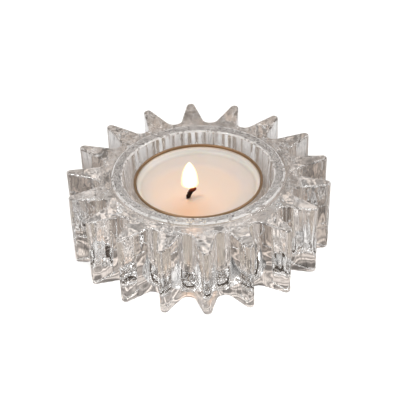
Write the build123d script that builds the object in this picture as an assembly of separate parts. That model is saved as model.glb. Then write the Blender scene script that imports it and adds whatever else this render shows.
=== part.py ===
from build123d import *
import math
import os

# Pressed-glass tealight holder with a sunburst outline, and the tealight that stands in its well.
# Millimetres, +Z up. The origin is the middle of the foot, and one ray points along +X.
# A name that ends in Z is a level above the foot. HEIGHT, LEVEL and THICKNESS are distances.

# Glass: the sunburst
RAYS = 18
PITCH = 360 / RAYS
TIP_R_TOP = 40.0  # radius to the ray tips at the top
TIP_R_FOOT = 38.5  # the tips lean in towards the foot, which is the mould's draft
TIP_ROUND = 1.33  # rounding of a ray's tip
NOTCH_R = 29.6  # radius to the bottom of the notch between two rays
NOTCH_ROUND = 2.4  # rounding of the notch's bottom
STAR_Z = 23.4  # the rays' flat top
EDGE = 0.45  # size of the small bevels on fire-polished edges

# Glass: the collar, the well and the foot
COLLAR_R = 26.1
COLLAR_Z = 24.6
COLLAR_FOOT_ROUND = 0.5
COLLAR_FOOT_R = 28.0  # where the collar's solid ends inside the sunburst
WELL_MOUTH_R = 22.8
WELL_FLOOR_R = 20.6
WELL_Z = 4.9
WELL_CORNER_ROUND = 1.6
RECESS_R = 24.6  # shallow hollow under the foot, which leaves a ring to stand on
RECESS_ROOF_R = 23.8
RECESS_Z = 0.9

# Tealight: the pressed aluminium cup
CUP_R = 18.75
CUP_HEIGHT = 17.4
SHEET = 0.25
HEEL_ROUND = 1.0  # outside rounding between the cup's floor and wall
BEAD_R = 0.45  # section of the rolled rim
BEAD_RING_R = 19.05  # radius of the circle that the rolled rim follows
PANEL_R = 14.6  # raised middle of the cup's floor
PANEL_FOOT_R = 15.2
PANEL_HEIGHT = 0.4

# Tealight: the wax
WAX_GAP = 0.15  # to the cup's wall
WAX_FOOT_GAP = 0.05  # to the cup's floor outside the raised panel
POOL_LEVEL = 14.7  # the melted pool, above the cup's underside
POOL_DEPTH = 0.2  # of the pool below the unmelted wax
POOL_R = 12.4
SHORE_R = 13.4  # where the unmelted wax is level again
POOL_XY = (-0.7, -2.4)  # off centre, towards the wick
POCKET_GAP = 0.05  # round the sustainer and the wick

# Tealight: the wick, and the disc with a neck that holds it upright
WICK_R = 0.68
SUSTAINER_R = 6.4
SUSTAINER_THICKNESS = 0.35
NECK_R = 1.4
NECK_HEIGHT = 3.6
SUSTAINER_XY = (-1.7, -5.3)  # it settled off centre as the wax set
WICK_OUT_XY = (-2.7, -6.2)  # where the wick leaves the pool
WICK_BEND_XY = (-1.6, -6.1)
WICK_TIP_XY = (-0.7, -5.8)
WICK_BEND_HEIGHT = 2.8  # above the pool
WICK_TIP_HEIGHT = 3.4
WICK_ROUNDS = (4.0, 1.2, 0.9)  # bend radii at the neck, at the surface and below the tip

# Levels and radii that follow from these
WALL_R = CUP_R - SHEET
PANEL_Z = WELL_Z + PANEL_HEIGHT + SHEET
DISC_Z = PANEL_Z + SUSTAINER_THICKNESS
NECK_Z = DISC_Z + NECK_HEIGHT
POOL_Z = WELL_Z + POOL_LEVEL
WAX_Z = POOL_Z + POOL_DEPTH
WAX_R = WALL_R - WAX_GAP
TIDY = 1.0  # how far a cutting solid runs past the surface that it cuts


def polar(radius, angle):
    return Vector(radius * math.cos(angle), radius * math.sin(angle))


def turned(*corners):
    """Solid of revolution about Z. Each corner of its half section is radius, level and rounding."""
    points = [(radius, level) for radius, level, rounding in corners]
    roundings = [rounding for radius, level, rounding in corners]
    outline = FilletPolyline(*points, radius=roundings, close=True)
    return revolve(Plane.XZ * make_face(outline), Axis.Z)


def star_face(z, tip_r, inset=0.0):
    """The sunburst's section: arcs round the tips and notches, and straight flanks tangent to both."""
    tip_round = TIP_ROUND - inset
    notch_round = NOTCH_ROUND + inset
    half_pitch = math.radians(PITCH / 2)
    tip_centre = Vector(tip_r - TIP_ROUND, 0)
    notch_centre = polar(NOTCH_R + NOTCH_ROUND, half_pitch)
    span = notch_centre - tip_centre
    lean = math.acos((tip_round + notch_round) / span.length)
    flank = math.atan2(span.Y, span.X) - lean  # direction that a flank faces
    before_tip = tip_centre + polar(tip_round, -flank)
    tip = tip_centre + polar(tip_round, 0)
    after_tip = tip_centre + polar(tip_round, flank)
    into_notch = notch_centre - polar(notch_round, flank)
    notch = notch_centre - polar(notch_round, half_pitch)
    out_of_notch = notch_centre - polar(notch_round, 2 * half_pitch - flank)
    ray = [
        ThreePointArc(before_tip, tip, after_tip),
        Line(after_tip, into_notch),
        ThreePointArc(into_notch, notch, out_of_notch),
        Line(out_of_notch, before_tip.rotate(Axis.Z, PITCH)),
    ]
    outline = [Rot(0, 0, turn * PITCH) * edge for turn in range(RAYS) for edge in ray]
    return Plane.XY.offset(z) * make_face(outline)


def sunburst():
    sections = [
        star_face(0, TIP_R_FOOT, EDGE),
        star_face(EDGE, TIP_R_FOOT),
        star_face(STAR_Z - EDGE, TIP_R_TOP),
        star_face(STAR_Z, TIP_R_TOP, EDGE),
    ]
    return loft(sections, ruled=True)


def collar():
    return turned(
        (0, STAR_Z - TIDY, 0),
        (COLLAR_FOOT_R, STAR_Z - TIDY, 0),
        (COLLAR_FOOT_R, STAR_Z, 0),
        (COLLAR_R, STAR_Z, COLLAR_FOOT_ROUND),
        (COLLAR_R, COLLAR_Z, EDGE),
        (0, COLLAR_Z, 0),
    )


def well():
    return turned(
        (0, WELL_Z, 0),
        (WELL_FLOOR_R, WELL_Z, WELL_CORNER_ROUND),
        (WELL_MOUTH_R, COLLAR_Z - EDGE, 0),
        (WELL_MOUTH_R + EDGE, COLLAR_Z, 0),
        (WELL_MOUTH_R + EDGE, COLLAR_Z + TIDY, 0),
        (0, COLLAR_Z + TIDY, 0),
    )


def foot_recess():
    return turned(
        (0, -TIDY, 0),
        (RECESS_R, -TIDY, 0),
        (RECESS_R, 0, 0),
        (RECESS_ROOF_R, RECESS_Z, 0),
        (0, RECESS_Z, 0),
    )


def glass_holder():
    return sunburst() + collar() - well() - foot_recess()


def tealight_cup():
    wall = turned(
        (0, WELL_Z + PANEL_HEIGHT, 0),
        (PANEL_R, WELL_Z + PANEL_HEIGHT, 0),
        (PANEL_FOOT_R, WELL_Z, 0),
        (CUP_R, WELL_Z, HEEL_ROUND),
        (CUP_R, WELL_Z + CUP_HEIGHT - BEAD_R, 0),
        (WALL_R, WELL_Z + CUP_HEIGHT - BEAD_R, 0),
        (WALL_R, WELL_Z + SHEET, HEEL_ROUND - SHEET),
        (PANEL_FOOT_R + SHEET / 2, WELL_Z + SHEET, 0),
        (PANEL_R + SHEET / 2, PANEL_Z, 0),
        (0, PANEL_Z, 0),
    )
    bead = Pos(0, 0, WELL_Z + CUP_HEIGHT - BEAD_R) * Torus(BEAD_RING_R, BEAD_R)
    return wall + bead


def wick_path():
    return FilletPolyline(
        (*SUSTAINER_XY, PANEL_Z),
        (*SUSTAINER_XY, NECK_Z),
        (*WICK_OUT_XY, POOL_Z),
        (*WICK_BEND_XY, POOL_Z + WICK_BEND_HEIGHT),
        (*WICK_TIP_XY, POOL_Z + WICK_TIP_HEIGHT),
        radius=WICK_ROUNDS,
    )


def wick(radius=WICK_R):
    path = wick_path()
    return sweep(Plane(origin=path @ 0, z_dir=path % 0) * Circle(radius), path=path)


def disc_with_neck(gap=0.0):
    """The sustainer without its bore. With a gap, the pocket that it leaves in the wax."""
    disc = Pos(*SUSTAINER_XY, PANEL_Z) * Cylinder(
        SUSTAINER_R + gap,
        SUSTAINER_THICKNESS,
        align=(Align.CENTER, Align.CENTER, Align.MIN),
    )
    neck = Pos(*SUSTAINER_XY, PANEL_Z) * Cylinder(
        NECK_R + gap,
        SUSTAINER_THICKNESS + NECK_HEIGHT + gap,
        align=(Align.CENTER, Align.CENTER, Align.MIN),
    )
    return disc + neck


def wick_sustainer():
    return disc_with_neck() - wick()


def wax():
    block = turned(
        (0, PANEL_Z, 0),
        (PANEL_R + SHEET, PANEL_Z, 0),
        (PANEL_FOOT_R + SHEET, WELL_Z + SHEET + WAX_FOOT_GAP, 0),
        (WAX_R, WELL_Z + SHEET + WAX_FOOT_GAP, HEEL_ROUND - SHEET),
        (WAX_R, WAX_Z, 0),
        (0, WAX_Z, 0),
    )
    pool = Pos(*POOL_XY, POOL_Z) * turned(
        (0, 0, 0),
        (POOL_R, 0, 0),
        (SHORE_R, POOL_DEPTH, 0),
        (SHORE_R, POOL_DEPTH + TIDY, 0),
        (0, POOL_DEPTH + TIDY, 0),
    )
    return block - pool - disc_with_neck(POCKET_GAP) - wick(WICK_R + POCKET_GAP)


PARTS = {
    "glass_holder": glass_holder,
    "tealight_cup": tealight_cup,
    "wax": wax,
    "wick": wick,
    "wick_sustainer": wick_sustainer,
}

os.makedirs("parts", exist_ok=True)
for name, make in PARTS.items():
    export_step(make(), f"parts/{name}.step")
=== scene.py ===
import math

import bpy
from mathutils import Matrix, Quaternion, Vector, noise

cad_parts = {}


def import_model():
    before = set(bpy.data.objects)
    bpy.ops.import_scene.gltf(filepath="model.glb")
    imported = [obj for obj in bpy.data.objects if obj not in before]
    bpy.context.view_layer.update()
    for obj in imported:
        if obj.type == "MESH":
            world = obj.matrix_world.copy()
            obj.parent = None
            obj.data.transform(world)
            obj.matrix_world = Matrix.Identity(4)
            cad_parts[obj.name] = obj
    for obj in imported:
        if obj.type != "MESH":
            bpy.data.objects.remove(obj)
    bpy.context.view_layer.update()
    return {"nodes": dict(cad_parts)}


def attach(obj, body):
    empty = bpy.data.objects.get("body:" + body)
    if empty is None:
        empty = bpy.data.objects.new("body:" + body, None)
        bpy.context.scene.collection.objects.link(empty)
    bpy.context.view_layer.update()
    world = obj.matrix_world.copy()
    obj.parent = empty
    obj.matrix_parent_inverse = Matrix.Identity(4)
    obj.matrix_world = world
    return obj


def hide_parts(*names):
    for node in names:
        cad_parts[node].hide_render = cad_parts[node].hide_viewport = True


# A lit tealight in a pressed-glass holder with a sunburst outline.
# Sizes are in millimetres, and MM turns them into metres. Those that the CAD part has too are
# the same here, apart from the bead round the cup's rim, which is a little slimmer.

MM = 0.001

# Glass: the sunburst
RAYS = 18
HALF_PITCH = math.pi / RAYS
TIP_R_TOP = 40.0
TIP_R_FOOT = 38.5
TIP_ROUND = 1.33
NOTCH_R = 29.6
NOTCH_ROUND = 2.4
STAR_Z = 23.4
EDGE_ROUND = 0.55

# Glass: the collar, the well and the foot
COLLAR_R = 26.1
COLLAR_Z = 24.6
COLLAR_FOOT_ROUND = 0.5
WELL_MOUTH_R = 22.8
WELL_FLOOR_R = 20.6
WELL_Z = 4.9
WELL_CORNER_ROUND = 1.6
RECESS_R = 24.6
RECESS_ROOF_R = 23.8
RECESS_Z = 0.9
ROOF_BEVEL_R = 0.3
ROOF_BEVEL_Z = 0.1
LIP_BEVEL_IN = 0.1
LIP_BEVEL_OUT = 0.15
LIP_BEVEL_Z = 0.15

# Glass: unevenness of the pressed faces
SIDE_SWELL = 0.12
SIDE_STREAK = 0.03
WELL_SWELL = 0.03
WELL_STREAK = 0.012
STAR_TOP_RIPPLE = 0.05
COLLAR_TOP_RIPPLE = 0.04

# Tealight: the cup
CUP_R = 18.75
CUP_HEIGHT = 17.4
SHEET = 0.25
HEEL_ROUND = 1.0
BEAD_R = 0.4
BEAD_RING_R = 19.08
BEAD_FROM = -70
PANEL_R = 14.6
PANEL_HEIGHT = 0.4
PANEL_SLOPE_UNDER = 0.6
PANEL_SLOPE_INSIDE = 0.7

# Tealight: the wax, with a melted pool and a film drawn up the wall
WAX_R = 18.46
WAX_BOTTOM_Z = WELL_Z + SHEET + PANEL_HEIGHT
POOL_Z = 19.6
POOL_DEPTH = 0.2
WAX_Z = POOL_Z + POOL_DEPTH
POOL_R = 12.4
POOL_XY = (-0.7, -2.4)
SHORE = 2.5
SHORE_WANDER = 0.5
SET_WAX_RIPPLE = 0.02
CREEP = 1.7
CREEP_HEIGHT = 1.5
MENISCUS_R = 1.1
MENISCUS_HEIGHT = 0.35
WAX_TOP_INSET = 0.03

# Tealight: the wick
WICK_R = 0.68
PLAIT_OFFSET = 0.5 * WICK_R
PLAIT_R = 0.6 * WICK_R
PLAIT_TIP_R = 0.4 * WICK_R
SUSTAINER_XY = (-1.7, -5.3)
NECK_TOP_Z = 9.5
WICK_OUT_XY = (-2.7, -6.2)
WICK_BEND_XY = (-1.6, -6.1)
WICK_TIP_XY = (-0.7, -5.8)
WICK_BEND_HEIGHT = 2.8
WICK_TIP_HEIGHT = 3.4

# Flame, above the melted pool
FLAME_FOOT_HEIGHT = 4.7
FLAME_HEIGHT = 8.5
FLAME_R = 2.7
FLAME_XY = (-1.75, -6.0)
FLAME_MIDDLE_HEIGHT = 3.5
FLAME_FOOT_SHARE = 0.1
FLAME_TAPER = 2.6
FLAME_BLUNTNESS = 0.8

# Camera
AZIMUTH = 7.8
ELEVATION = 34.94
ROLL = -2.08
DISTANCE = 1555.6
AIM_Z = 12.34
AIM_RIGHT = 0.307
AIM_UP = 2.121
LENS = 464.2
SENSOR = 36.0


# ---------------------------------------------------------------- meshes

def polar(radius, angle):
    return Vector((radius * math.cos(angle), radius * math.sin(angle), 0.0))


def arc_steps(start, end, count):
    return [start + (end - start) * step / count for step in range(count)]


def mesh_object(name, points, faces, smooth=True):
    """A mesh piece from points in millimetres."""
    mesh = bpy.data.meshes.new(name)
    mesh.from_pydata([Vector(point) * MM for point in points], [], faces)
    mesh.validate()
    mesh.update()
    mesh.polygons.foreach_set("use_smooth", [smooth] * len(mesh.polygons))
    piece = bpy.data.objects.new(name, mesh)
    bpy.context.scene.collection.objects.link(piece)
    return piece


def skin(name, rings, first, last):
    """A closed piece from a stack of rings with equal counts, between two end points."""
    count = len(rings[0])
    points = [point for ring in rings for point in ring]
    faces = []
    for row in range(len(rings) - 1):
        low = row * count
        high = low + count
        for column in range(count):
            beside = (column + 1) % count
            faces.append((low + column, low + beside, high + beside, high + column))
    first_hub = len(points)
    last_hub = first_hub + 1
    points += [first, last]
    top = (len(rings) - 1) * count
    for column in range(count):
        faces.append((first_hub, (column + 1) % count, column))
    for column in range(count):
        faces.append((last_hub, top + column, top + (column + 1) % count))
    return mesh_object(name, points, faces)


def circle(radius, z, angles):
    return [Vector((radius * math.cos(angle), radius * math.sin(angle), z)) for angle in angles]


def even_angles(count):
    return [2 * math.pi * step / count for step in range(count)]


def corner(centre_r, centre_z, radius, start, end, count):
    """(radius, level) along a rounded corner of a turned section, from start to end degrees."""
    found = []
    for step in range(count + 1):
        angle = math.radians(start + (end - start) * step / count)
        found.append((centre_r + radius * math.cos(angle), centre_z + radius * math.sin(angle)))
    return found


def turned_rings(section, angles):
    return [circle(radius, z, angles) for radius, z in section]


def blend(start, goal, share):
    """A ring part of the way from one ring to another."""
    return [here.lerp(there, share) for here, there in zip(start, goal)]


# ---------------------------------------------------------------- glass

TIP_STEPS = 8
FLANK_STEPS = 14
NOTCH_STEPS = 10
ROUND_STEPS = 5
SIDE_LEVELS = 16
WELL_LEVELS = 20


def tip_r(z):
    return TIP_R_FOOT + (TIP_R_TOP - TIP_R_FOOT) * z / STAR_Z


def star_outline(radius, inset=0.0):
    """[(point, outward direction)] round the sunburst: tip arcs, notch arcs and the flanks between."""
    tip_round = TIP_ROUND - inset
    notch_round = NOTCH_ROUND + inset
    tip_centre = polar(radius - TIP_ROUND, 0)
    notch_centre = polar(NOTCH_R + NOTCH_ROUND, HALF_PITCH)
    span = notch_centre - tip_centre
    flank = math.atan2(span.y, span.x) - math.acos((tip_round + notch_round) / span.length)
    flank_out = polar(1, flank)
    tip_end = tip_centre + flank_out * tip_round
    notch_start = notch_centre - flank_out * notch_round
    half = []
    for angle in arc_steps(0, flank, TIP_STEPS // 2):
        half.append((tip_centre + polar(tip_round, angle), polar(1, angle)))
    for step in range(FLANK_STEPS):
        half.append((tip_end.lerp(notch_start, step / FLANK_STEPS), flank_out))
    for angle in arc_steps(flank, HALF_PITCH, NOTCH_STEPS // 2):
        half.append((notch_centre - polar(notch_round, angle), polar(1, angle)))
    middle = (notch_centre - polar(notch_round, HALF_PITCH), polar(1, HALF_PITCH))
    pitch = half + [middle] + [mirrored(pair) for pair in reversed(half[1:])]
    return [turned(pair, 2 * HALF_PITCH * ray) for ray in range(RAYS) for pair in pitch]


def mirrored(pair):
    """The same place on the next ray's near flank, across the notch's middle."""
    return tuple(mirror_vector(vector) for vector in pair)


def mirror_vector(vector):
    angle = 2 * HALF_PITCH - math.atan2(vector.y, vector.x)
    return polar(vector.length, angle)


def turned(pair, angle):
    return tuple(turn_vector(vector, angle) for vector in pair)


def turn_vector(vector, angle):
    return polar(vector.length, math.atan2(vector.y, vector.x) + angle)


def wave(point, across, along, seed):
    """Smooth noise from -1 to 1, with one wavelength in the plan and another along Z."""
    place = Vector((point.x / across, point.y / across, point.z / along + seed))
    return noise.noise(place)


def rippled(ring, depth, size, seed):
    """A ring on a flat that the mould's plunger didn't polish."""
    return [place + Vector((0, 0, depth * wave(place, size, size, seed))) for place in ring]


def side_ring(z, inset):
    """A level of the rays' sides, with the shallow ripples of glass pressed in an iron mould."""
    ring = []
    for point, out in star_outline(tip_r(z), inset):
        place = Vector((point.x, point.y, z))
        swell = SIDE_SWELL * wave(place, across=6.0, along=9.0, seed=3.0)
        streak = SIDE_STREAK * wave(place, across=1.6, along=20.0, seed=11.0)
        ring.append(place + out * (swell + streak))
    return ring


def well_ring(radius, z, plan):
    """A level of the well's wall, with upright ripples."""
    ring = []
    for place in circle(radius, z, plan):
        swell = WELL_SWELL * wave(place, across=2.0, along=16.0, seed=4.0)
        streak = WELL_STREAK * wave(place, across=0.8, along=20.0, seed=8.0)
        out = Vector((place.x, place.y, 0)) / radius
        ring.append(place + out * (swell + streak))
    return ring


def foot_rings(plan):
    """The hollow under the foot and the flat that the glass stands on."""
    section = [((RECESS_ROOF_R - ROOF_BEVEL_R) * share, RECESS_Z) for share in (0.25, 0.5, 0.75, 1.0)]
    section += [(RECESS_ROOF_R, RECESS_Z - ROOF_BEVEL_Z)]
    section += [(RECESS_R - LIP_BEVEL_IN, LIP_BEVEL_Z)]
    section += [(RECESS_R + LIP_BEVEL_OUT, 0.0)]
    rings = turned_rings(section, plan)
    lip = rings[-1]
    edge = [Vector((point.x, point.y, 0.0)) for point, out in star_outline(TIP_R_FOOT, EDGE_ROUND)]
    return rings + [blend(edge, lip, share) for share in (0.9, 0.6, 0.3, 0.06)]


def side_rings():
    """The rays' sides, with rounded edges at the foot and the top."""
    rings = []
    for step in range(ROUND_STEPS + 1):
        angle = math.pi / 2 * step / ROUND_STEPS
        inset = EDGE_ROUND * (1 - math.sin(angle))
        rings.append(side_ring(EDGE_ROUND * (1 - math.cos(angle)), inset))
    low = EDGE_ROUND
    high = STAR_Z - EDGE_ROUND
    for step in range(1, SIDE_LEVELS):
        rings.append(side_ring(low + (high - low) * step / SIDE_LEVELS, 0.0))
    for step in range(ROUND_STEPS + 1):
        angle = math.pi / 2 * step / ROUND_STEPS
        inset = EDGE_ROUND * (1 - math.cos(angle))
        rings.append(side_ring(STAR_Z - EDGE_ROUND * (1 - math.sin(angle)), inset))
    return rings


def star_top_rings(rim, plan):
    """The rays' flat top, from their edge to the collar's foot."""
    collar_foot = circle(COLLAR_R + COLLAR_FOOT_ROUND, STAR_Z, plan)
    shares = arc_steps(0.06, 1.0, 12)
    flats = [blend(rim, collar_foot, share) for share in shares]
    return [rippled(flat, STAR_TOP_RIPPLE, size=2.5, seed=5.0) for flat in flats]


def collar_rings(plan):
    """The collar's wall, its flat rim and the rounded mouth of the well."""
    foot_r = COLLAR_R + COLLAR_FOOT_ROUND
    foot_z = STAR_Z + COLLAR_FOOT_ROUND
    outer = COLLAR_R - EDGE_ROUND
    inner = WELL_MOUTH_R + EDGE_ROUND
    round_z = COLLAR_Z - EDGE_ROUND
    rings = turned_rings(corner(foot_r, foot_z, COLLAR_FOOT_ROUND, -90, -180, ROUND_STEPS), plan)
    rings += turned_rings(corner(outer, round_z, EDGE_ROUND, 0, 90, ROUND_STEPS), plan)
    for share in arc_steps(0.1, 1.0, 9):
        flat = circle(outer + (inner - outer) * share, COLLAR_Z, plan)
        rings.append(rippled(flat, COLLAR_TOP_RIPPLE, size=1.2, seed=9.0))
    return rings + turned_rings(corner(inner, round_z, EDGE_ROUND, 90, 180, ROUND_STEPS), plan)


def well_rings(plan):
    """The well's tapered wall, its rounded corner and its floor."""
    low = WELL_Z + WELL_CORNER_ROUND
    high = COLLAR_Z - EDGE_ROUND
    flat_r = WELL_FLOOR_R - WELL_CORNER_ROUND
    rings = []
    for step in range(1, WELL_LEVELS):
        share = step / WELL_LEVELS
        radius = WELL_MOUTH_R + (WELL_FLOOR_R - WELL_MOUTH_R) * share
        rings.append(well_ring(radius, high + (low - high) * share, plan))
    section = corner(flat_r, low, WELL_CORNER_ROUND, 0, -90, ROUND_STEPS + 2)
    section += [(flat_r * share, WELL_Z) for share in (0.75, 0.5, 0.25)]
    return rings + turned_rings(section, plan)


def glass_holder():
    plan = [math.atan2(point.y, point.x) for point, out in star_outline(TIP_R_TOP)]
    rings = foot_rings(plan) + side_rings()
    rings += star_top_rings(rings[-1], plan) + collar_rings(plan) + well_rings(plan)
    piece = skin("pressed_glass", rings, Vector((0, 0, RECESS_Z)), Vector((0, 0, WELL_Z)))
    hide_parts("glass_holder")
    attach(piece, "holder")
    return piece


# ---------------------------------------------------------------- tealight

TEALIGHT_SIDES = 200
HEEL_STEPS = 6
BEAD_STEPS = 14
WAX_TOP_RINGS = 60
WICK_STEPS = 24
WICK_PLAITS = 3
PLAIT_SIDES = 10
PLAIT_TURN_STEPS = 22
PLAIT_TIP_STEPS = 8
FLAME_RINGS = 40
FLAME_SIDES = 48


def tealight_cup():
    """A thin cup whose section goes under the floor, up the wall, round the bead and back inside."""
    bead_z = WELL_Z + CUP_HEIGHT - BEAD_R
    height = bead_z - WELL_Z
    outside = [(PANEL_R * share, WELL_Z + PANEL_HEIGHT) for share in (0.3, 0.6, 1.0)]
    outside += [(PANEL_R + PANEL_SLOPE_UNDER, WELL_Z)]
    outside += corner(CUP_R - HEEL_ROUND, WELL_Z + HEEL_ROUND, HEEL_ROUND, -90, 0, HEEL_STEPS)
    outside += [(CUP_R, WELL_Z + height * share) for share in (0.3, 0.6, 0.93)]
    bead = corner(BEAD_RING_R, bead_z, BEAD_R, BEAD_FROM, 180, BEAD_STEPS)
    wall_r = CUP_R - SHEET
    heel = HEEL_ROUND - SHEET
    inside = [(wall_r, WELL_Z + height * share) for share in (0.9, 0.6, 0.3)]
    inside += corner(wall_r - heel, WELL_Z + SHEET + heel, heel, 0, -90, HEEL_STEPS)
    inside += [(PANEL_R + PANEL_SLOPE_INSIDE, WELL_Z + SHEET)]
    inside += [(PANEL_R * share, WAX_BOTTOM_Z) for share in (1.0, 0.6, 0.3)]
    rings = turned_rings(outside + bead + inside, even_angles(TEALIGHT_SIDES))
    under = Vector((0, 0, WELL_Z + PANEL_HEIGHT))
    piece = skin("drawn_cup", rings, under, Vector((0, 0, WAX_BOTTOM_Z)))
    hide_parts("tealight_cup")
    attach(piece, "cup")
    return piece


def flat_distance(point, centre):
    return math.hypot(point.x - centre[0], point.y - centre[1])


def wax_level(point):
    """Height of the wax surface: the melted pool, its shore, the set wax, and a rise at the wick."""
    wander = SHORE_WANDER * wave(point, across=4, along=4, seed=2)
    share = (flat_distance(point, POOL_XY) - POOL_R + wander) / SHORE
    shore = max(0.0, min(1.0, share))
    set_wax = shore * shore * (3 - 2 * shore)
    depth = POOL_DEPTH + SET_WAX_RIPPLE * wave(point, across=3, along=3, seed=7)
    from_wick = flat_distance(point, WICK_OUT_XY) / MENISCUS_R
    meniscus = MENISCUS_HEIGHT * math.exp(-(from_wick**2))
    at_wall = max(0.0, 1 - (WAX_R - math.hypot(point.x, point.y)) / CREEP)
    return POOL_Z + depth * set_wax + meniscus + CREEP_HEIGHT * at_wall**2


def wax():
    angles = even_angles(TEALIGHT_SIDES)
    rings = [circle(WAX_R * share, WAX_BOTTOM_Z, angles) for share in (0.3, 0.6, 0.93)]
    levels = (WAX_BOTTOM_Z + 0.6, 10.0, 15.0, WAX_Z, WAX_Z + CREEP_HEIGHT)
    rings += [circle(WAX_R, z, angles) for z in levels]
    for step in range(WAX_TOP_RINGS):
        radius = (WAX_R - WAX_TOP_INSET) * (1 - step / WAX_TOP_RINGS)
        flat = circle(radius, 0, angles)
        rings.append([Vector((point.x, point.y, wax_level(point))) for point in flat])
    middle = Vector((0, 0, wax_level(Vector((0, 0, 0)))))
    piece = skin("wax_slug", rings, Vector((0, 0, WAX_BOTTOM_Z)), middle)
    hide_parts("wax")
    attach(piece, "candle")
    return piece


def b_spline(points, steps):
    """Points along a quadratic B-spline that runs half a span past its first and last control points."""
    padded = [points[0] * 2 - points[1]] + points + [points[-1] * 2 - points[-2]]
    found = []
    for index in range(len(padded) - 2):
        a, b, c = padded[index : index + 3]
        for step in range(steps):
            t = step / steps
            found.append(a * ((1 - t) ** 2 / 2) + b * (0.5 + t - t * t) + c * (t * t / 2))
    found.append((padded[-2] + padded[-1]) / 2)
    return found


def frames_along(path):
    """[(point, side, other)]: two directions square to the path, carried along so that nothing twists."""
    found = []
    side = Vector((1, 0, 0))
    for index, point in enumerate(path):
        ahead = path[min(index + 1, len(path) - 1)] - path[max(index - 1, 0)]
        ahead.normalize()
        side = (side - ahead * side.dot(ahead)).normalized()
        found.append((point, side, ahead.cross(side)))
    return found


def wick_route():
    knots = [
        Vector((*SUSTAINER_XY, WAX_BOTTOM_Z)),
        Vector((*SUSTAINER_XY, NECK_TOP_Z)),
        Vector((*WICK_OUT_XY, POOL_Z)),
        Vector((*WICK_BEND_XY, POOL_Z + WICK_BEND_HEIGHT)),
        Vector((*WICK_TIP_XY, POOL_Z + WICK_TIP_HEIGHT)),
    ]
    return b_spline(knots, WICK_STEPS)


def wick_plait(number, route):
    """A strand that winds round the wick's line and thins at its burnt tip."""
    path = []
    for index, (point, side, other) in enumerate(frames_along(route)):
        angle = 2 * math.pi * (number / WICK_PLAITS + index / PLAIT_TURN_STEPS)
        path.append(point + (side * math.cos(angle) + other * math.sin(angle)) * PLAIT_OFFSET)
    last = len(path) - 1
    rings = []
    for index, (point, side, other) in enumerate(frames_along(path)):
        burnt = max(0, index - last + PLAIT_TIP_STEPS) / PLAIT_TIP_STEPS
        radius = PLAIT_R + (PLAIT_TIP_R - PLAIT_R) * burnt
        ring = []
        for angle in even_angles(PLAIT_SIDES):
            ring.append(point + side * radius * math.cos(angle) + other * radius * math.sin(angle))
        rings.append(ring)
    return skin(f"wick_plait_{number + 1}", rings, path[0], path[-1])


def wick():
    """Plaits round the wick's line, charred and fused above the wax."""
    route = wick_route()
    pieces = [wick_plait(number, route) for number in range(WICK_PLAITS)]
    for piece in pieces:
        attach(piece, "candle")
    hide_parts("wick")
    return pieces


def flame():
    """An upright teardrop: rounded at the foot, pointed at the top."""
    foot = Vector((*FLAME_XY, POOL_Z + FLAME_FOOT_HEIGHT))
    angles = even_angles(FLAME_SIDES)
    rings = []
    for step in range(1, FLAME_RINGS):
        share = step / FLAME_RINGS
        foot_round = min(1, math.sqrt(share / FLAME_FOOT_SHARE))
        radius = FLAME_R * (1 - share**FLAME_TAPER) ** FLAME_BLUNTNESS * foot_round
        rings.append([foot + point for point in circle(radius, FLAME_HEIGHT * share, angles)])
    piece = skin("flame", rings, foot, foot + Vector((0, 0, FLAME_HEIGHT)))
    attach(piece, "candle")
    return piece


# ---------------------------------------------------------------- shader nodes

PLAIN = (1, 1, 1)
IN_PLAN = (1, 1, 0)


def new_tree(name):
    """A material and its node tree."""
    material = bpy.data.materials.new(name)
    material.use_nodes = True
    return material, material.node_tree


def shader_of(tree):
    return tree.nodes["Principled BSDF"]


def link(tree, source, node, name):
    tree.links.new(source, node.inputs[name])


def place_node(tree, stretch=PLAIN):
    """Object coordinates in millimetres, stretched."""
    place = tree.nodes.new("ShaderNodeTexCoord")
    mapping = tree.nodes.new("ShaderNodeMapping")
    mapping.inputs["Scale"].default_value = [value / MM for value in stretch]
    link(tree, place.outputs["Object"], mapping, "Vector")
    return mapping.outputs["Vector"]


def axis_node(tree, vector, name):
    """One of a vector's coordinates: X, Y or Z."""
    split = tree.nodes.new("ShaderNodeSeparateXYZ")
    link(tree, vector, split, "Vector")
    return split.outputs[name]


def height_node(tree):
    return axis_node(tree, place_node(tree), "Z")


def distance_node(tree, centre, stretch=PLAIN):
    """Distance from a place, in millimetres."""
    node = tree.nodes.new("ShaderNodeVectorMath")
    node.operation = "DISTANCE"
    node.inputs[1].default_value = centre
    tree.links.new(place_node(tree, stretch), node.inputs[0])
    return node.outputs["Value"]


def from_axis_node(tree):
    return distance_node(tree, (0, 0, 0), IN_PLAN)


def noise_node(tree, vector, size, detail=0.0):
    texture = tree.nodes.new("ShaderNodeTexNoise")
    texture.inputs["Scale"].default_value = 1 / size
    texture.inputs["Detail"].default_value = detail
    link(tree, vector, texture, "Vector")
    return texture.outputs["Fac"]


def grain_node(tree, size, detail=0.0, stretch=PLAIN):
    """Noise by place on the object. Its size is in millimetres."""
    return noise_node(tree, place_node(tree, stretch), size, detail)


def range_node(tree, value, low, high, to_low, to_high):
    node = tree.nodes.new("ShaderNodeMapRange")
    node.inputs["From Min"].default_value = low
    node.inputs["From Max"].default_value = high
    node.inputs["To Min"].default_value = to_low
    node.inputs["To Max"].default_value = to_high
    link(tree, value, node, "Value")
    return node.outputs["Result"]


def rise_node(tree, value, low, high):
    return range_node(tree, value, low, high, 0.0, 1.0)


def fall_node(tree, value, low, high):
    return range_node(tree, value, low, high, 1.0, 0.0)


def fade_node(tree, value, ends, left):
    """From 1 at the first end to what is left at the second."""
    full, faded = ends
    return range_node(tree, value, full, faded, 1.0, left)


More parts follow.
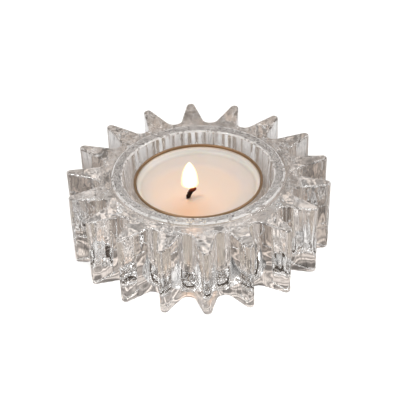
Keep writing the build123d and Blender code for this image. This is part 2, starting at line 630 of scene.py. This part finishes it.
def bump_node(tree, height, distance, under=None):
    """A bump on top of another. Its distance is in millimetres."""
    node = tree.nodes.new("ShaderNodeBump")
    node.inputs["Strength"].default_value = 1.0
    node.inputs["Distance"].default_value = distance * MM
    link(tree, height, node, "Height")
    if under is not None:
        link(tree, under, node, "Normal")
    return node.outputs["Normal"]


def math_node(tree, operation, first, second):
    node = tree.nodes.new("ShaderNodeMath")
    node.operation = operation
    tree.links.new(first, node.inputs[0])
    tree.links.new(second, node.inputs[1])
    return node.outputs[0]


def both_node(tree, first, *others):
    """The product of some shares."""
    for other in others:
        first = math_node(tree, "MULTIPLY", first, other)
    return first


def band_node(tree, value, band, soft):
    """1 where the value is between the band's ends, with soft ends."""
    low, high = band
    return both_node(tree, rise_node(tree, value, low - soft, low), fall_node(tree, value, high, high + soft))


def ramp_node(tree, value, stops):
    """A colour ramp whose stops are (position, (red, green, blue))."""
    ramp = tree.nodes.new("ShaderNodeValToRGB")
    elements = ramp.color_ramp.elements
    elements[0].position = stops[0][0]
    elements[0].color = (*stops[0][1], 1)
    elements[1].position = stops[-1][0]
    elements[1].color = (*stops[-1][1], 1)
    for position, colour in stops[1:-1]:
        elements.new(position).color = (*colour, 1)
    link(tree, value, ramp, "Fac")
    return ramp.outputs["Color"]


def grey_ramp_node(tree, value, stops):
    """A ramp of greys whose stops are (position, brightness)."""
    return ramp_node(tree, value, [(where, (grey, grey, grey)) for where, grey in stops])


def mix_colour(tree, factor, first, second, blend_type="MIX"):
    """Two colours mixed. Each is a node's output or (red, green, blue)."""
    node = tree.nodes.new("ShaderNodeMix")
    node.data_type = "RGBA"
    node.blend_type = blend_type
    link(tree, factor, node, "Factor")
    for name, colour in (("A", first), ("B", second)):
        if isinstance(colour, tuple):
            node.inputs[name].default_value = (*colour, 1)
        else:
            link(tree, colour, node, name)
    return node.outputs["Result"]


def mix_shader(tree, factor, first, second):
    """Two shaders mixed, as the material's surface."""
    mix = tree.nodes.new("ShaderNodeMixShader")
    link(tree, factor, mix, "Fac")
    tree.links.new(first, mix.inputs[1])
    tree.links.new(second, mix.inputs[2])
    link(tree, mix.outputs["Shader"], tree.nodes["Material Output"], "Surface")


# ---------------------------------------------------------------- glass material

# Where highlights and dark lines are painted on the glass: levels, and distances from the axis
STAR_EDGE_BAND = (STAR_Z - EDGE_ROUND, STAR_Z - 0.03)
STAR_TOP_BAND = (STAR_Z - 0.08, STAR_Z + 0.1)
FOOT_EDGE_BAND = (0.12, 0.5)
RIM_BAND = (COLLAR_R - 0.5, COLLAR_R + 0.2)
MOUTH_BAND = (WELL_MOUTH_R - 0.2, WELL_MOUTH_R + 0.45)
COLLAR_FLAT_BAND = (WELL_MOUTH_R + 0.5, COLLAR_R - 0.6)

# Where the painted highlights and dark lines and the bumps thin out, and what is left of them there
PAINTED_CRACKLE_FADE_R = (28.5, 33.0)
PAINTED_CRACKLE_FADE_Y = (-12.0, -22.0)
SQUIGGLE_FADE_R = (29.0, 34.0)
FAINT = 0.1

# Bumps: (noise size, depth)
STREAKS = (1.3, 0.04)
PITS = (1.2, 0.02)
SQUIGGLES = (1.1, 0.15)
COLLAR_GRAIN = (0.8, 0.5)
STREAK_STRETCH = (1, 1, 0.15)
DRAWN_STRETCH = (1, 1, 0.1)
WALL_STRETCH = (1, 1, 0.06)

GLASS_IOR = 1.5
GLASS_ROUGHNESS = 0.003

# The painted highlights and dark lines, in place of light and dark seen through the glass: (place in the
# noise, tone, share where the glass turns opaque to show the tone)
CLEAR = 0.97
CLEAR_GLASS = (CLEAR, CLEAR, 0.965)
# Painted highlights and dark dashes along the rays' top edges
EDGE_PAINTED_GLINTS = (
    (0.34, 0.35, 0.0), (0.40, 1.0, 0.3), (0.46, 1.0, 0.4), (0.49, 0.4, 0.05),
    (0.55, CLEAR, 0.05), (0.62, 1.0, 0.35), (0.7, 0.3, 0.0),
)
# Painted highlights along the collar's rim and the well's mouth
RIM_PAINTED_GLINTS = ((0.28, 0.6, 0.1), (0.36, 1.0, 0.5), (0.64, 1.0, 0.6), (0.72, 0.7, 0.2))
# Painted glitter on the collar's top: white highlight specks and dark specks
COLLAR_PAINTED_GLITTER = (
    (0.34, 0.05, 0.1), (0.42, 1.0, 0.3), (0.5, 0.8, 0.2),
    (0.55, 0.05, 0.05), (0.61, 1.0, 0.5), (0.7, 0.2, 0.0),
)
# Painted squiggles of highlight and dark on the rays' tops near the collar
PAINTED_CRACKLE_GLINTS = (
    (0.38, CLEAR, 0.0), (0.41, 0.1, 0.0), (0.43, 1.0, 0.25), (0.45, CLEAR, 0.0),
    (0.56, CLEAR, 0.0), (0.58, 1.0, 0.3), (0.60, 0.1, 0.0), (0.62, CLEAR, 0.0),
)
# Painted dark lines up the rays' flanks, standing in for dark refractions
FLANK_PAINTED_DARK_LINES = (
    (0.30, CLEAR, 0.0), (0.32, 0.4, 0.0), (0.34, 0.4, 0.0), (0.36, CLEAR, 0.0),
    (0.66, CLEAR, 0.0), (0.68, 0.5, 0.0), (0.70, CLEAR, 0.0),
)
# Painted dark lines up the well's wall, standing in for dark refractions
WELL_WALL_PAINTED_DARK_LINES = (
    (0.36, CLEAR, 0.0), (0.39, 0.65, 0.0), (0.42, CLEAR, 0.0),
    (0.6, CLEAR, 0.0), (0.62, 0.65, 0.0), (0.64, CLEAR, 0.0),
)
# Painted highlights and dark dashes along the foot's edge
FOOT_PAINTED_GLINTS = (
    (0.34, 0.08, 0.0), (0.40, 1.0, 0.4), (0.50, 1.0, 0.5),
    (0.54, 0.1, 0.0), (0.60, 1.0, 0.4), (0.68, 0.1, 0.0),
)


def glass_zones(tree, y, z, away):
    """[(place, stretch of the noise, its size in millimetres, painted highlights and dark lines)], each place
    from 0 to 1.
    """
    outer = rise_node(tree, away, COLLAR_R + 0.6, COLLAR_R + 0.8)
    on_collar = rise_node(tree, z, COLLAR_Z - 0.5, COLLAR_Z - 0.45)
    under_edge = fall_node(tree, z, STAR_Z - 0.7, STAR_Z - 0.6)
    star_edge = both_node(tree, band_node(tree, z, STAR_EDGE_BAND, 0.05), outer)
    foot_edge = both_node(tree, band_node(tree, z, FOOT_EDGE_BAND, 0.05), outer)
    rim = both_node(tree, on_collar, band_node(tree, away, RIM_BAND, 0.1))
    mouth = both_node(tree, on_collar, band_node(tree, away, MOUTH_BAND, 0.1))
    collar_flat = both_node(tree, on_collar, band_node(tree, away, COLLAR_FLAT_BAND, 0.1))
    near_collar = fade_node(tree, away, PAINTED_CRACKLE_FADE_R, FAINT)
    behind = fade_node(tree, y, PAINTED_CRACKLE_FADE_Y, FAINT)
    star_top = band_node(tree, z, STAR_TOP_BAND, 0.02)
    # Where the painted squiggles of highlight and dark go
    painted_crackle_zone = both_node(tree, star_top, outer, near_collar, behind)
    flanks = both_node(tree, under_edge, rise_node(tree, away, NOTCH_R - 0.5, NOTCH_R - 0.4))
    wall = both_node(tree, under_edge, fall_node(tree, away, WELL_MOUTH_R, WELL_MOUTH_R + 0.2))
    return (
        (star_edge, PLAIN, 1.6, EDGE_PAINTED_GLINTS),
        (rim, PLAIN, 1.6, RIM_PAINTED_GLINTS),
        (mouth, PLAIN, 1.6, RIM_PAINTED_GLINTS),
        (collar_flat, PLAIN, 0.55, COLLAR_PAINTED_GLITTER),
        (painted_crackle_zone, PLAIN, 1.7, PAINTED_CRACKLE_GLINTS),
        (flanks, DRAWN_STRETCH, 1.3, FLANK_PAINTED_DARK_LINES),
        (wall, WALL_STRETCH, 0.75, WELL_WALL_PAINTED_DARK_LINES),
        (foot_edge, PLAIN, 2.2, FOOT_PAINTED_GLINTS),
    )


def glass_painted_glints(tree, y, z, away):
    """Painted highlights and dark dashes along the edges, painted glitter on the collar, painted squiggles on
    the rays' tops, painted dark lines in the sides: tone and opacity.
    """
    colour = CLEAR_GLASS
    painted_opacity = None
    for zone, stretch, size, marks in glass_zones(tree, y, z, away):
        texture = grain_node(tree, size, 0.0, stretch)
        tones = grey_ramp_node(tree, texture, [(where, tone) for where, tone, share in marks])
        shares = grey_ramp_node(tree, texture, [(where, share) for where, tone, share in marks])
        colour = mix_colour(tree, zone, colour, tones)
        patch = both_node(tree, zone, shares)
        painted_opacity = patch if painted_opacity is None else math_node(tree, "MAXIMUM", painted_opacity, patch)
    return colour, painted_opacity


def glass_bump(tree, z, away):
    """Mould streaks, shallow pits, squiggles on the rays' top by the collar, and the collar's grain."""
    streak_size, streak_depth = STREAKS
    pit_size, pit_depth = PITS
    squiggle_size, squiggle_depth = SQUIGGLES
    grain_size, grain_depth = COLLAR_GRAIN
    streaked = bump_node(tree, grain_node(tree, streak_size, 0.0, STREAK_STRETCH), streak_depth)
    pitted = bump_node(tree, grain_node(tree, pit_size), pit_depth, streaked)
    on_top = rise_node(tree, z, STAR_Z - 0.4, STAR_Z - 0.2)
    near_collar = fade_node(tree, away, SQUIGGLE_FADE_R, FAINT)
    past_collar = rise_node(tree, away, COLLAR_R + 0.3, COLLAR_R + 0.8)
    squiggle = both_node(tree, grain_node(tree, squiggle_size), on_top, near_collar, past_collar)
    squiggled = bump_node(tree, squiggle, squiggle_depth, pitted)
    on_collar = rise_node(tree, z, COLLAR_Z - 0.1, COLLAR_Z - 0.03)
    grain = both_node(tree, grain_node(tree, grain_size), on_collar)
    return bump_node(tree, grain, grain_depth, squiggled)


def glass_material():
    """Clear soda glass. Shadow rays go straight through it, so light reaches the wax and the floor."""
    material, tree = new_tree("pressed_glass")
    shader = shader_of(tree)
    shader.inputs["IOR"].default_value = GLASS_IOR
    y = axis_node(tree, place_node(tree), "Y")
    z = height_node(tree)
    away = from_axis_node(tree)
    link(tree, glass_bump(tree, z, away), shader, "Normal")
    # Painted highlights and dark lines: the base colour, and less transmission where they are painted
    colour, painted_opacity = glass_painted_glints(tree, y, z, away)
    link(tree, colour, shader, "Base Color")
    link(tree, fall_node(tree, painted_opacity, 0.0, 1.0), shader, "Transmission Weight")
    polish = grain_node(tree, 3.0, 2.0)
    link(tree, range_node(tree, polish, 0.4, 0.7, 0.0, GLASS_ROUGHNESS), shader, "Roughness")
    clear = tree.nodes.new("ShaderNodeBsdfTransparent")
    path = tree.nodes.new("ShaderNodeLightPath")
    mix_shader(tree, path.outputs["Is Shadow Ray"], shader.outputs["BSDF"], clear.outputs["BSDF"])
    return material


# ---------------------------------------------------------------- tealight materials

DRAWN_SIZE = 0.35
DRAWN_DEPTH = 0.03
DRAWN_DARK = (0.80, 0.75, 0.68)
DRAWN_LIGHT = (0.95, 0.91, 0.85)
# Inside wall: a wax film's colour, painted lighter to make up for the light its upright face lacks
CUP_INSIDE = (0.93, 0.885, 0.84)
CUP_INSIDE_METALLIC = 0.2
CUP_ROUGHNESS = 0.25
# Painted shade: the bead round the rim is dark brown
RIM_PAINTED_SHADE = (0.24, 0.15, 0.085)
RIM_SHADE_ROUGHNESS = 0.45

PARAFFIN_DARK = (0.535, 0.458, 0.406)
PARAFFIN_LIGHT = (0.567, 0.486, 0.43)
PARAFFIN_MELTED = (0.61, 0.49, 0.405)
# Painted flame light: the glow and reflection of the flame in the wax in front of it
PARAFFIN_PAINTED_FLAME_LIGHT = (0.485, 0.28, 0.162)
# The wax film up the wall, painted lighter to make up for the light its upright face lacks
PARAFFIN_FILM_PAINTED_LIGHTER = (0.82, 0.695, 0.60)
PARAFFIN_IOR = 1.44
# Where the painted flame light is strongest, in front of the flame
PAINTED_FLAME_LIGHT_CENTRE = (-1.5, -13.5, WAX_Z)
GLOW_R = 10.0
GLOW_SHARE = 0.65

COTTON = (0.75, 0.66, 0.55)
CHAR = (0.014, 0.005, 0.003)
EMBER = (0.16, 0.025, 0.01)
CHAR_HEIGHT = 4.0
FUZZ_SIZE = 0.15
FUZZ_DEPTH = 0.1

TIN_DARK = (0.5, 0.5, 0.48)
TIN_LIGHT = (0.72, 0.72, 0.70)

FLAME_FOOT = (1.0, 0.55, 0.16)
FLAME_BODY = (1.0, 0.86, 0.5)
FLAME_TOP = (1.0, 0.88, 0.6)
FLAME_FRINGE = (1.0, 0.58, 0.2)
FLAME_STRENGTH = 2.6


def cup_material():
    """Thin drawn aluminium with fine drawing lines up the wall, a rim bead painted dark brown as shade, and
    an inside coloured like a wax film and painted lighter to make up for the light its upright face lacks.
    """
    material, tree = new_tree("drawn_aluminium")
    shader = shader_of(tree)
    z = height_node(tree)
    lines = grain_node(tree, DRAWN_SIZE, 2.0, DRAWN_STRETCH)
    bare = ramp_node(tree, lines, ((0.3, DRAWN_DARK), (0.7, DRAWN_LIGHT)))
    bead = WELL_Z + CUP_HEIGHT - 2 * BEAD_R
    # Painted shade: dark brown from the foot of the bead upwards
    rim_shade = rise_node(tree, z, bead - 0.1, bead + 0.15)
    inside = fall_node(tree, from_axis_node(tree), CUP_R - 0.2, CUP_R - 0.1)
    outside = fall_node(tree, inside, 0.0, 1.0)
    # Inside: painted lighter to make up for the light the upright wall lacks
    wall = mix_colour(tree, inside, bare, CUP_INSIDE)
    link(tree, mix_colour(tree, rim_shade, wall, RIM_PAINTED_SHADE), shader, "Base Color")
    link(tree, fade_node(tree, inside, (0.0, 1.0), CUP_INSIDE_METALLIC), shader, "Metallic")
    dull = range_node(tree, rim_shade, 0.0, 1.0, CUP_ROUGHNESS, RIM_SHADE_ROUGHNESS)
    link(tree, dull, shader, "Roughness")
    link(tree, bump_node(tree, both_node(tree, outside, lines), DRAWN_DEPTH), shader, "Normal")
    return material


def wax_material():
    """Paraffin: clear and glossy where it has melted, paler and duller at the edge. In front of the flame it
    has a painted orange glow and reflection of the flame, and the film up the wall is painted lighter to make
    up for the light its upright face lacks.
    """
    material, tree = new_tree("paraffin")
    shader = shader_of(tree)
    shader.inputs["Subsurface Weight"].default_value = 0.6
    shader.inputs["Subsurface Radius"].default_value = (1.0, 0.55, 0.3)
    shader.inputs["Subsurface Scale"].default_value = 0.006
    shader.inputs["IOR"].default_value = PARAFFIN_IOR
    z = height_node(tree)
    mottle = grain_node(tree, 5.0, 3.0)
    pale = ramp_node(tree, mottle, ((0.2, PARAFFIN_DARK), (0.8, PARAFFIN_LIGHT)))
    from_pool = distance_node(tree, (*POOL_XY, POOL_Z))
    melted = mix_colour(tree, fall_node(tree, from_pool, POOL_R, POOL_R + SHORE), pale, PARAFFIN_MELTED)
    # Painted glow and reflection of the flame
    painted_glow = range_node(tree, distance_node(tree, PAINTED_FLAME_LIGHT_CENTRE), 1.0, GLOW_R, GLOW_SHARE, 0.0)
    warm = mix_colour(tree, painted_glow, melted, PARAFFIN_PAINTED_FLAME_LIGHT)
    # Painted lighter where the wax creeps up the wall
    crept = rise_node(tree, z, WAX_Z + 0.04, WAX_Z + 0.5)
    link(tree, mix_colour(tree, crept, warm, PARAFFIN_FILM_PAINTED_LIGHTER), shader, "Base Color")
    link(tree, range_node(tree, mottle, 0.3, 0.7, 0.35, 0.5), shader, "Roughness")
    return material


def wick_material():
    """Cotton below the wax, char above it and an ember at the tip."""
    material, tree = new_tree("charred_wick")
    shader = shader_of(tree)
    z = height_node(tree)
    share = rise_node(tree, z, WAX_Z, WAX_Z + CHAR_HEIGHT)
    tone = ramp_node(tree, share, ((0.0, COTTON), (0.1, CHAR), (0.65, CHAR), (0.95, EMBER)))
    link(tree, tone, shader, "Base Color")
    shader.inputs["Roughness"].default_value = 0.85
    shader.inputs["Specular IOR Level"].default_value = 0.15
    link(tree, bump_node(tree, grain_node(tree, FUZZ_SIZE, 3.0), FUZZ_DEPTH), shader, "Normal")
    return material


def tin_material():
    """Tinned sheet with a faint spangle."""
    material, tree = new_tree("tinned_sheet")
    shader = shader_of(tree)
    shader.inputs["Metallic"].default_value = 1.0
    spangle = grain_node(tree, 1.2, 3.0)
    link(tree, ramp_node(tree, spangle, ((0.0, TIN_DARK), (1.0, TIN_LIGHT))), shader, "Base Color")
    link(tree, range_node(tree, spangle, 0.3, 0.7, 0.25, 0.45), shader, "Roughness")
    return material


def flame_material():
    """White-yellow, with an orange fringe that thins to nothing where it is seen edge on."""
    material, tree = new_tree("flame")
    tree.nodes.remove(shader_of(tree))
    z = height_node(tree)
    low = POOL_Z + FLAME_FOOT_HEIGHT
    share = rise_node(tree, z, low, low + FLAME_HEIGHT)
    body = ramp_node(tree, share, ((0.0, FLAME_FOOT), (0.2, FLAME_BODY), (1.0, FLAME_TOP)))
    weight = tree.nodes.new("ShaderNodeLayerWeight")
    weight.inputs["Blend"].default_value = 0.5
    edge_on = weight.outputs["Facing"]
    fire = tree.nodes.new("ShaderNodeEmission")
    fire.inputs["Strength"].default_value = FLAME_STRENGTH
    fringe = mix_colour(tree, rise_node(tree, edge_on, 0.3, 0.9), body, FLAME_FRINGE)
    link(tree, fringe, fire, "Color")
    clear = tree.nodes.new("ShaderNodeBsdfTransparent")
    above_foot = range_node(tree, share, 0.0, 0.16, 0.25, 1.0)
    solid = both_node(tree, fall_node(tree, edge_on, 0.15, 0.85), above_foot)
    mix_shader(tree, solid, clear.outputs["BSDF"], fire.outputs["Emission"])
    return material


# ---------------------------------------------------------------- studio

FLOOR_SIDE = 3000.0
FLOOR_WHITE = (0.9, 0.9, 0.9, 1)

# Floor as the glass shows it, in painted light: its tones (a painted shadow under the glass, paler away from
# it), where they change, and its painted caustic lines as (place in the noise, brightness)
FLOOR_NEAR_FRONT = (0.60, 0.545, 0.505)
FLOOR_NEAR_BACK = (0.325, 0.262, 0.218)
FLOOR_MIDDLE = (0.80, 0.79, 0.785)
FLOOR_FAR = (1.0, 1.0, 1.0)
FLOOR_NEAR_R = 42.0
FLOOR_FAR_R = 122.0
FLOOR_MIDDLE_SHARE = 0.22
FLOOR_FRONT_Y = -28.0
FLOOR_BACK_Y = 30.0
FLOOR_PAINTED_CAUSTICS = (
    (0.30, 0.3), (0.38, 1.0), (0.45, 0.35), (0.5, 2.1), (0.56, 0.5), (0.63, 1.6), (0.7, 0.4),
)
FLOOR_LINES_SIZE = 9.0
FLOOR_LINES_FADE_R = (33.0, 46.0)
FLOOR_LINES_FAR = 0.15
# A painted pool of candle light on the floor in front of the glass
FLOOR_GLOW = (1.15, 0.80, 0.58)
FLOOR_GLOW_XY = (0.0, -26.5)
FLOOR_GLOW_R = 6.0
FLOOR_GLOW_SHARE = 0.5

# Room: its tones by height, and dark and bright cards as (place in the noise, brightness)
ROOM_HORIZON = (0.50, 0.47, 0.45)
ROOM_WALL = (0.60, 0.58, 0.56)
ROOM_CEILING = (0.80, 0.79, 0.78)
STUDIO_CARDS = ((0.36, 0.15), (0.43, 0.35), (0.5, 0.9), (0.6, 1.2), (0.66, 1.9))
STUDIO_CARDS_SIZE = 0.35

# Light from the flame
CANDLE_COLOUR = (1.0, 0.52, 0.2)
CANDLE_POWER = 0.0012
CANDLE_R = 1.5

# Glass inside glass needs many bounces
BOUNCES = 48
GLASS_BOUNCES = 32


def floor():
    """A pale sheet. The camera sees it white; other rays, such as those the glass bends, see a painted grey,
    lined patch of shade and caustics on it.
    """
    side = FLOOR_SIDE
    corners = [(-side, -side, 0), (side, -side, 0), (side, side, 0), (-side, side, 0)]
    sheet = mesh_object("floor", corners, [(0, 1, 2, 3)], smooth=False)
    material, tree = new_tree("pale_floor")
    tree.nodes.remove(shader_of(tree))
    white = tree.nodes.new("ShaderNodeBsdfDiffuse")
    white.inputs["Color"].default_value = FLOOR_WHITE
    bent = tree.nodes.new("ShaderNodeEmission")
    link(tree, bent_floor_tone(tree), bent, "Color")
    path = tree.nodes.new("ShaderNodeLightPath")
    mix_shader(tree, path.outputs["Is Camera Ray"], bent.outputs["Emission"], white.outputs["BSDF"])
    sheet.data.materials.append(material)


def bent_floor_tone(tree):
    """Painted shadow, grey under the glass and paler away from it, with painted bright caustic lines like
    those that pressed glass throws, and a painted pool of candle light in front.
    """
    y = axis_node(tree, place_node(tree), "Y")
    away = distance_node(tree, (0, 0, 0))
    backward = rise_node(tree, y, FLOOR_FRONT_Y, FLOOR_BACK_Y)
    under = ramp_node(tree, backward, ((0.0, FLOOR_NEAR_FRONT), (1.0, FLOOR_NEAR_BACK)))
    span = rise_node(tree, away, FLOOR_NEAR_R, FLOOR_FAR_R)
    far = ramp_node(tree, span, ((FLOOR_MIDDLE_SHARE, FLOOR_MIDDLE), (1.0, FLOOR_FAR)))
    tone = mix_colour(tree, rise_node(tree, span, 0.0, FLOOR_MIDDLE_SHARE), under, far)
    # Painted caustic lines
    lines = grey_ramp_node(tree, grain_node(tree, FLOOR_LINES_SIZE), FLOOR_PAINTED_CAUSTICS)
    fade = fade_node(tree, away, FLOOR_LINES_FADE_R, FLOOR_LINES_FAR)
    lined = mix_colour(tree, fade, tone, lines, "MULTIPLY")
    # Painted pool of candle light in front of the glass
    from_glow = distance_node(tree, (*FLOOR_GLOW_XY, 0.0))
    painted_glow = range_node(tree, from_glow, 1.0, FLOOR_GLOW_R, FLOOR_GLOW_SHARE, 0.0)
    return mix_colour(tree, painted_glow, lined, FLOOR_GLOW)


def world():
    """A soft room, brighter upwards, with cards round it that give the glass its contrast."""
    studio = bpy.data.worlds.new("studio")
    bpy.context.scene.world = studio
    studio.use_nodes = True
    tree = studio.node_tree
    place = tree.nodes.new("ShaderNodeTexCoord").outputs["Generated"]
    z = axis_node(tree, place, "Z")
    tone = ramp_node(tree, z, ((0.0, ROOM_HORIZON), (0.3, ROOM_WALL), (0.9, ROOM_CEILING)))
    cards = grey_ramp_node(tree, noise_node(tree, place, STUDIO_CARDS_SIZE), STUDIO_CARDS)
    low_down = fall_node(tree, z, 0.5, 0.8)
    room = mix_colour(tree, low_down, tone, cards, "MULTIPLY")
    link(tree, room, tree.nodes["Background"], "Color")


def add_light(name, lamp, place):
    """A lamp's object. The place is in millimetres."""
    holder = bpy.data.objects.new(name, lamp)
    holder.location = Vector(place) * MM
    bpy.context.scene.collection.objects.link(holder)
    return holder


def area_light(name, place, size, power):
    """A softbox that faces the object. The place and size are in millimetres."""
    lamp = bpy.data.lights.new(name, "AREA")
    lamp.shape = "RECTANGLE"
    lamp.size = size[0] * MM
    lamp.size_y = size[1] * MM
    lamp.energy = power
    holder = add_light(name, lamp, place)
    holder.rotation_mode = "QUATERNION"
    holder.rotation_quaternion = Vector(place).to_track_quat("Z", "Y")


def candle_light():
    lamp = bpy.data.lights.new("candle_light", "POINT")
    lamp.energy = CANDLE_POWER
    lamp.color = CANDLE_COLOUR
    lamp.shadow_soft_size = CANDLE_R * MM
    add_light("candle_light", lamp, (*FLAME_XY, POOL_Z + FLAME_FOOT_HEIGHT + FLAME_MIDDLE_HEIGHT))


def camera():
    azimuth = math.radians(AZIMUTH)
    elevation = math.radians(ELEVATION)
    right = Vector((math.cos(azimuth), math.sin(azimuth), 0))
    back = Vector((math.sin(azimuth), -math.cos(azimuth), 0)) * math.cos(elevation)
    back.z = math.sin(elevation)
    up = back.cross(right)
    aim = Vector((0, 0, AIM_Z)) + right * AIM_RIGHT + up * AIM_UP
    data = bpy.data.cameras.new("camera")
    data.lens = LENS
    data.sensor_width = SENSOR
    data.clip_start = 0.01
    data.clip_end = 50.0
    holder = bpy.data.objects.new("camera", data)
    holder.location = (aim + back * DISTANCE) * MM
    holder.rotation_mode = "QUATERNION"
    level = back.to_track_quat("Z", "Y")
    roll = Quaternion((0, 0, 1), math.radians(ROLL))
    holder.rotation_quaternion = level @ roll
    bpy.context.scene.collection.objects.link(holder)
    bpy.context.scene.camera = holder


def paint(piece, material):
    piece.data.materials.clear()
    piece.data.materials.append(material)


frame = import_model()

paint(glass_holder(), glass_material())
paint(tealight_cup(), cup_material())
paint(wax(), wax_material())
charred = wick_material()
for plait in wick():
    paint(plait, charred)
paint(frame["nodes"]["wick_sustainer"], tin_material())
fire = flame()
paint(fire, flame_material())
fire.visible_shadow = False
fire.visible_diffuse = False

floor()
world()
area_light("key", place=(-450, -350, 850), size=(160, 160), power=3.4)
area_light("back_strip", place=(-100, 430, 720), size=(800, 200), power=1.6)
area_light("right_strip", place=(650, 100, 600), size=(80, 420), power=2.4)
candle_light()
camera()

scene = bpy.context.scene
scene.view_settings.view_transform = "Standard"
scene.cycles.max_bounces = BOUNCES
scene.cycles.transmission_bounces = GLASS_BOUNCES
scene.cycles.glossy_bounces = GLASS_BOUNCES
